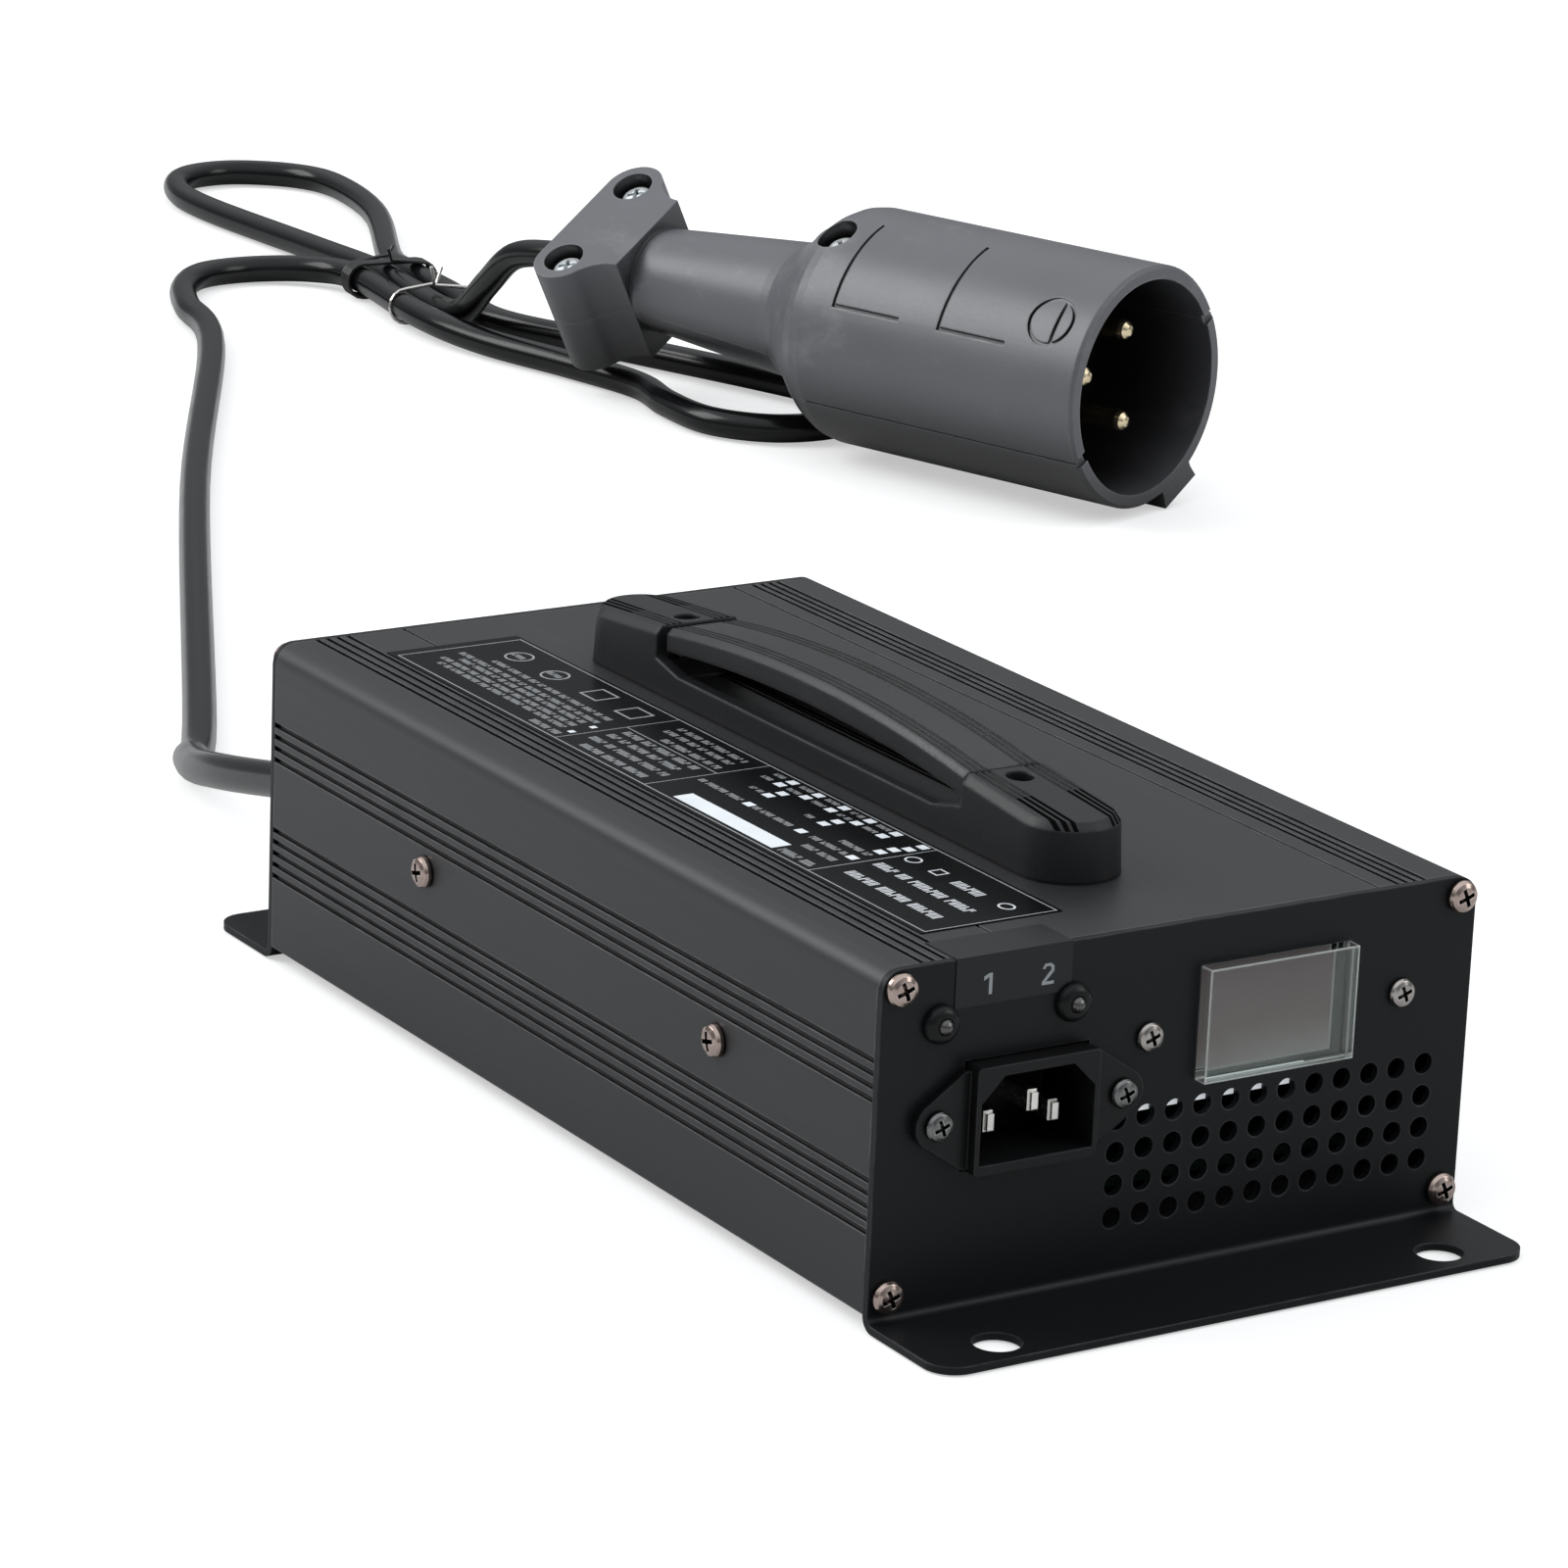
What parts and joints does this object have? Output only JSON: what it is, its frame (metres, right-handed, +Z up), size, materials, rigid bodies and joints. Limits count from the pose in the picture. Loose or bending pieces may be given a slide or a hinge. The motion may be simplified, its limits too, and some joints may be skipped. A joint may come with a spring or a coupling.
{
  "type": "battery_charger",
  "caption": "Lead-acid battery charger in a black extruded case with folded feet, strap handle, power inlet, charge display, fan and a cord with a round plug",
  "frame": {"origin": "Centre of the case in plan, on the floor plane that the two feet stand on", "axes": "X across the panels, Y along the case with the inlet panel at -Y and the cord at +Y, Z up"},
  "size_m": [0.4136, 0.9572, 0.0856],
  "materials": {
    "case_black": "satin black anodised aluminium",
    "panel_black": "fine black powder coat",
    "nickel_screw": "nickel plated screws with a warm tint",
    "zinc_screw": "zinc plated steel",
    "black_screw": "black oxide steel",
    "inlet_plastic": "hard black plastic",
    "plated_brass": "nickel plated blades",
    "holder_plastic": "black lamp holders",
    "lamp_clear": "clear lamp bodies",
    "clear_film": "clear tape with plain numbers",
    "window_clear": "clear acrylic block",
    "display_grey": "dark grey display field",
    "board_green": "green circuit board",
    "handle_plastic": "black moulded plastic",
    "strap_rubber": "soft black strap",
    "label_film": "black film with plain bars and squares",
    "fan_plastic": "black fan plastic",
    "cord_black": "black cord jacket",
    "plug_plastic": "dark grey moulded plastic",
    "carrier_plastic": "near black plastic",
    "pin_brass": "bare brass pins",
    "tie_black": "black coated wire",
    "sheet_fibre": "pale fibre sheet",
    "bar_aluminium": "sawn aluminium bar",
    "device_black": "black moulded devices",
    "ferrite": "dark grey ferrite",
    "coil_tape": "yellow coil tape",
    "copper_wire": "enamelled copper winding",
    "can_sleeve": "dark blue sleeves",
    "fuse_glass": "glass tube with metal caps",
    "relay_blue": "blue relay cover"
  },
  "bodies": {
    "base": {"case_extrusion": "case_black", "front_panel": "panel_black", "rear_panel": "panel_black", "front_panel_screws": "nickel_screw", "rear_panel_screws": "nickel_screw", "side_screws": "nickel_screw", "inlet_body": "inlet_plastic", "inlet_blades": "plated_brass", "inlet_screws": "zinc_screw", "inlet_nuts": "zinc_screw", "led_holders": "holder_plastic", "led_lenses": "lamp_clear", "led_strip": "clear_film", "display_glass": "window_clear", "display_face": "display_grey", "display_board": "board_green", "display_spacers": "zinc_screw", "display_screws": "zinc_screw", "display_nuts": "zinc_screw", "handle_base": "handle_plastic", "handle_strap": "strap_rubber", "handle_screws": "black_screw", "handle_nuts": "zinc_screw", "case_label": "label_film", "fan_frame": "fan_plastic", "fan_screws": "black_screw", "cord_guard": "cord_black", "output_cord": "cord_black", "plug_upper_shell": "plug_plastic", "plug_lower_shell": "plug_plastic", "plug_pin_carrier": "carrier_plastic", "plug_pins": "pin_brass", "plug_screws": "zinc_screw", "cord_tie_black": "tie_black", "cord_tie_zinc": "zinc_screw", "circuit_board": "board_green", "insulating_sheet": "sheet_fibre", "heat_bar_left": "bar_aluminium", "heat_bar_right": "bar_aluminium", "power_transistors": "device_black", "transistor_screws": "zinc_screw", "transformer_core": "ferrite", "transformer_coil": "coil_tape", "filter_choke": "copper_wire", "main_capacitors": "can_sleeve", "small_capacitors": "can_sleeve", "fuse_tube": "fuse_glass", "fuse_clips": "zinc_screw", "relay": "relay_blue"},
    "rotor": {"fan_rotor": "fan_plastic"}
  },
  "joints": [
    {"name": "fan_spin", "type": "hinge", "parent": "base", "child": "rotor", "pos_m": [0.014, 0.104, 0.0355], "axis": [0, 1, 0], "continuous": true}
  ]
}
